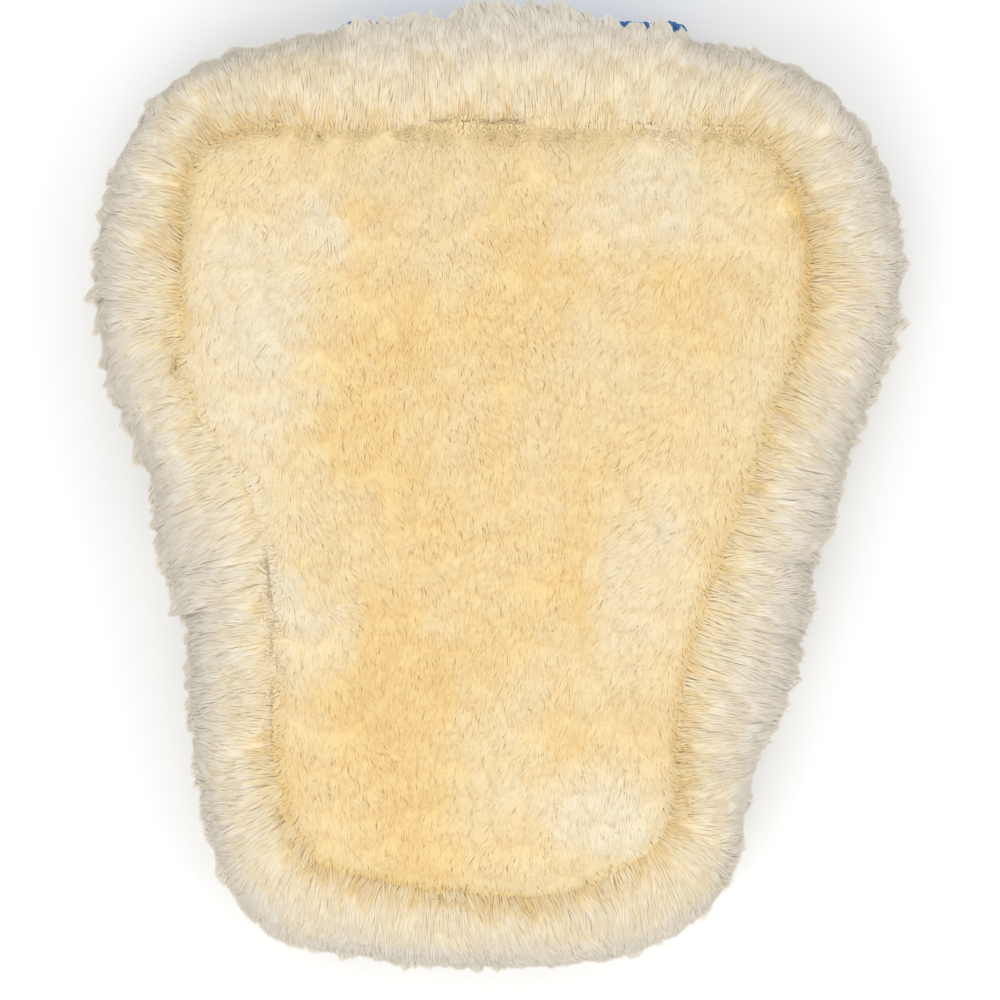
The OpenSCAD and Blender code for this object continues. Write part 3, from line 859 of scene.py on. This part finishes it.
def knit_cuff():
    """The double rib-knit cuff, folded over its elastic, with each row of loops raised on its ribs."""
    elastic_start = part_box("cuff_elastic")[0].y / MM
    columns = RIBS * RIB_COLUMNS
    part = -np.arange(columns) / columns
    rib = part * RIBS % 1
    ridge = (0.5 + 0.5 * np.cos(TURN * rib)) ** 0.7
    valley = (0.5 - 0.5 * np.cos(TURN * rib)) ** 0.7
    slant = 0.35 * np.abs(2 * rib - 1)
    folds = 1 + 0.7 * np.sin(TURN * 19 * part) + 0.4 * np.sin(TURN * 31 * part + 1)
    rows, way, last = [], 0.0, None
    for y, inset, turn in cuff_profile():
        way += 0 if last is None else math.hypot(y - last[0], inset - last[1])
        last = (y, inset)
        drawn_in = smooth(np.array(y), elastic_start - 4, elastic_start + 2)
        gather = GATHER * drawn_in * folds
        height, push = 0.0, 0.0
        if turn is not None:
            wale = ridge if turn < math.pi / 2 else valley
            loops = np.cos(TURN * (way / LOOP_LENGTH + slant))
            height = (RIB_HEIGHT * wale + LOOP_HEIGHT * wale * loops - 0.2) * math.cos(turn)
            push = 0.3 * ridge * math.sin(turn)
        x, z = oval(part, inset + gather - height)
        rows.append(np.stack([x, y + push - 0.5 * gather * drawn_in, z], 1))
    cuff = grid_mesh("knit_cuff_rib", np.stack(rows), True, True)
    place_piece(cuff, KNIT_YARN, "knit", "knit_cuff")

# ---- the cloth panels

PANEL_CELLS = 56
SIM_FRAMES = 20
BACK_SLACK, BACK_SAG = 0.004, 2.6       # part by which the cloth is too large, and mm that it may sag
LINING_SLACK, LINING_SAG = 0.002, 1.6

def disc_grid(cells):
    """The direction and the part of the radius of each point of a square grid wrapped onto a disc."""
    steps = np.linspace(-1, 1, cells + 1)
    a, b = np.meshgrid(steps, steps, indexing="ij")
    wide = np.abs(a) > np.abs(b)
    part = np.where(wide, a, b)
    safe = np.where(part == 0, 1, part)
    angle = np.where(wide, np.pi / 4 * b / safe, np.pi / 2 - np.pi / 4 * a / safe)
    return np.where(part < 0, angle + np.pi, angle).ravel(), np.abs(part).ravel()

def simulate(points, faces, sewn, slack):
    """Where a cloth comes to rest under gravity when it is sewn down at some points."""
    mesh = bpy.data.meshes.new("cloth_at_work")
    mesh.from_pydata((points * MM).tolist(), [], faces.tolist())
    piece = new_object("cloth_at_work", mesh)
    group = piece.vertex_groups.new(name="sewn")
    group.add(np.flatnonzero(sewn).tolist(), 1.0, "REPLACE")
    settings = piece.modifiers.new("cloth", "CLOTH").settings
    settings.vertex_group_mass = "sewn"
    settings.quality = 6
    settings.mass = 0.001
    settings.tension_stiffness = 20
    settings.compression_stiffness = 20
    settings.shear_stiffness = 8
    settings.bending_stiffness = 0.02
    settings.shrink_min = -slack
    for frame_number in range(1, SIM_FRAMES + 1):
        bpy.context.scene.frame_set(frame_number)
    at_rest = piece.evaluated_get(bpy.context.evaluated_depsgraph_get()).data
    settled = np.empty(len(points) * 3)
    at_rest.vertices.foreach_get("co", settled)
    bpy.data.objects.remove(piece)
    bpy.context.scene.frame_set(1)
    return settled.reshape(-1, 3) / MM

def settled_panel(node, slack, cap):
    """The middle surface of a panel that is sewn round its edge and hangs between, at most about cap
    deep: its points, its faces and the grid of point numbers."""
    radius = outline(vertices(node))
    angle, part = disc_grid(PANEL_CELLS)
    reach = at_theta(radius, angle) * part
    x, y = reach * np.cos(angle), reach * np.sin(angle)
    level = middle_level(node)
    points = np.stack([x, y, level + 0.3 * noise(x, y, 71, 9) * (1 - part ** 4)], 1)
    side = PANEL_CELLS + 1
    index = np.arange(side * side).reshape(side, side)
    faces = np.stack([index[:-1, :-1], index[1:, :-1], index[1:, 1:], index[:-1, 1:]], -1).reshape(-1, 4)
    points = simulate(points, faces, part > 0.999, slack)
    points[:, 2] = level + cap * np.tanh((points[:, 2] - level) / cap)
    return points, faces, index

def thick_panel(name, node, points, faces, index, slot_name, material):
    """A panel with the thickness of its CAD node about the given middle surface."""
    low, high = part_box(node)
    half = np.array([0, 0, (high.z - low.z) / 2 / MM])
    rim = np.concatenate([index[:-1, 0], index[-1, :-1], index[:0:-1, -1], index[0, :0:-1]])
    after, count = np.roll(rim, -1), len(points)
    sides = np.stack([rim + count, after + count, after, rim], 1)
    both = np.concatenate([points + half, points - half])
    piece = smooth_mesh(name, both, faces.tolist() + (faces[:, ::-1] + count).tolist() + sides.tolist())
    place_piece(piece, material, slot_name, node)

def middle_level(node):
    """The height of the middle of a node, in millimetres."""
    low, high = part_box(node)
    return (low.z + high.z) / 2 / MM

def cloth_panels():
    """The back panel with its lining lying on it, and the lining under the palm pelt."""
    back, faces, index = settled_panel("back_panel", BACK_SLACK, BACK_SAG)
    thick_panel("back_panel_cloth", "back_panel", back, faces, index, "back_fabric", BACK_CLOTH)
    drop = back[:, 2] - middle_level("back_panel")
    lining, faces, index = settled_panel("palm_lining", LINING_SLACK, LINING_SAG)
    thick_panel("palm_lining_cloth", "palm_lining", lining, faces, index, "lining", LINING_CLOTH)
    below = lining.copy()
    below[:, 2] = middle_level("back_lining") + drop
    thick_panel("back_lining_cloth", "back_lining", below, faces, index, "lining", LINING_CLOTH)

# ---- stitches

STITCH_PITCH = 4.0   # mm from one stitch to the next
STITCH_LENGTH = 3.1  # mm
STITCH_SLANT = math.radians(14)
STITCH_SIDES = 6
STITCH_RINGS = 5

def seam_stitches(name, node, upward, slot_name, material):
    """A row of stitches along a seam, each a short rounded thread that dives into the work at its ends."""
    low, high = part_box(node)
    loop = RADIAL * outline(vertices(node))[:, None]
    steps = np.linalg.norm(np.roll(loop, -1, 0) - loop, axis=1)
    way = np.concatenate([[0], np.cumsum(steps)])
    count = round(way[-1] / STITCH_PITCH)
    theta = np.interp(np.arange(count) * way[-1] / count, way, np.append(THETA, TURN))
    middle = at_theta(loop, theta)
    along = unit(at_theta(loop, theta + 0.01) - middle)
    level, thread = (low.z + high.z) / 2 / MM, (high.z - low.z) / 2 / MM
    c, s = math.cos(STITCH_SLANT), math.sin(STITCH_SLANT)
    run = np.stack([along[:, 0] * c - along[:, 1] * s, along[:, 0] * s + along[:, 1] * c], 1)
    rings = []
    for t in np.linspace(-1, 1, STITCH_RINGS):
        size = thread * math.sqrt(max(1 - 0.8 * t * t, 0.05))
        height = level + upward * (0.25 - 0.55 * t * t)
        for a in np.arange(STITCH_SIDES) * TURN / STITCH_SIDES:
            aside = np.stack([-run[:, 1], run[:, 0]], 1) * size * math.cos(a)
            xy = middle + run * (STITCH_LENGTH / 2 * t) + aside
            rings.append(np.column_stack([xy, np.full(count, height + size * math.sin(a))]))
    piece = smooth_mesh(name, np.stack(rings, 1).reshape(-1, 3), stitch_faces(count))
    place_piece(piece, material, slot_name, node)

def stitch_faces(count):
    """The faces of count closed tubes whose rings of points follow one another."""
    each = STITCH_RINGS * STITCH_SIDES
    faces = []
    for first in range(0, count * each, each):
        for i in range(STITCH_RINGS - 1):
            ring = first + i * STITCH_SIDES
            for j in range(STITCH_SIDES):
                a, b = ring + j, ring + (j + 1) % STITCH_SIDES
                faces.append((a, b, b + STITCH_SIDES, a + STITCH_SIDES))
        faces.append(tuple(first + STITCH_SIDES - 1 - j for j in range(STITCH_SIDES)))
        faces.append(tuple(first + each - STITCH_SIDES + j for j in range(STITCH_SIDES)))
    return faces

finish_carried_over()
knit_cuff()
cloth_panels()
seam_stitches("palm_seam_stitches", "palm_seam", 1, "wool_thread", STRAW_THREAD)
seam_stitches("back_seam_stitches", "back_seam", -1, "wool_thread", STRAW_THREAD)
palm_undercoat()
edge_undercoat()
palm_wool(int(PALM_BLADES * COUNT))
edge_strips(int(EDGE_BLADES * COUNT))

# ---- floor, light and camera

FLOOR_HALF = 6.0     # m
VIEW_WIDTH = 0.282   # m that the picture is wide at the mitt
VIEW_SHIFT = 0.0018  # m that the camera stands towards the toe from the mitt's middle

def stage():
    """A pale floor."""
    far = FLOOR_HALF
    corners = [(-far, -far, 0), (far, -far, 0), (far, far, 0), (-far, far, 0)]
    mesh = bpy.data.meshes.new("floor")
    mesh.from_pydata(corners, [], [(0, 1, 2, 3)])
    material, tree, shader = node_material("floor", 0.9)
    shader.inputs["Base Color"].default_value = (0.97, 0.97, 0.97, 1)
    mesh.materials.append(material)
    new_object("floor", mesh)

def area_light(name, place, size, power, colour=(1, 1, 1)):
    """A round soft light that points at the mitt."""
    light = bpy.data.lights.new(name, "AREA")
    light.shape = "DISK"
    light.size = size
    light.energy = power
    light.color = colour
    lamp = new_object(name, light)
    lamp.location = place
    lamp.rotation_euler = (-Vector(place)).to_track_quat("-Z", "Y").to_euler()

def studio():
    """Even light from all round, a warm key light from beyond the toe and a weak fill."""
    world = bpy.data.worlds.new("studio")
    bpy.context.scene.world = world
    world.use_nodes = True
    background = world.node_tree.nodes["Background"]
    background.inputs["Color"].default_value = (0.96, 0.98, 1.0, 1)
    background.inputs["Strength"].default_value = 0.975
    area_light("key", (-0.5, -1.1, 1.3), 1.4, 8, (1.0, 0.985, 0.96))
    area_light("fill", (1.2, -0.4, 1.1), 1.5, 3)
    scene = bpy.context.scene
    scene.view_settings.view_transform = "Standard"
    scene.view_settings.look = "None"
    scene.cycles.diffuse_bounces = 12

def camera():
    """A long lens straight above the palm."""
    data = bpy.data.cameras.new("camera")
    data.lens = 100
    data.sensor_width = 36
    cam = new_object("camera", data)
    bpy.context.scene.camera = cam
    low, high = CAD_BOX
    height = VIEW_WIDTH / 2 / (data.sensor_width / 2 / data.lens)
    cam.location = ((low.x + high.x) / 2, (low.y + high.y) / 2 - VIEW_SHIFT, high.z * 0.6 + height)
    cam.rotation_euler = (0, 0, 0)

stage()
studio()
camera()
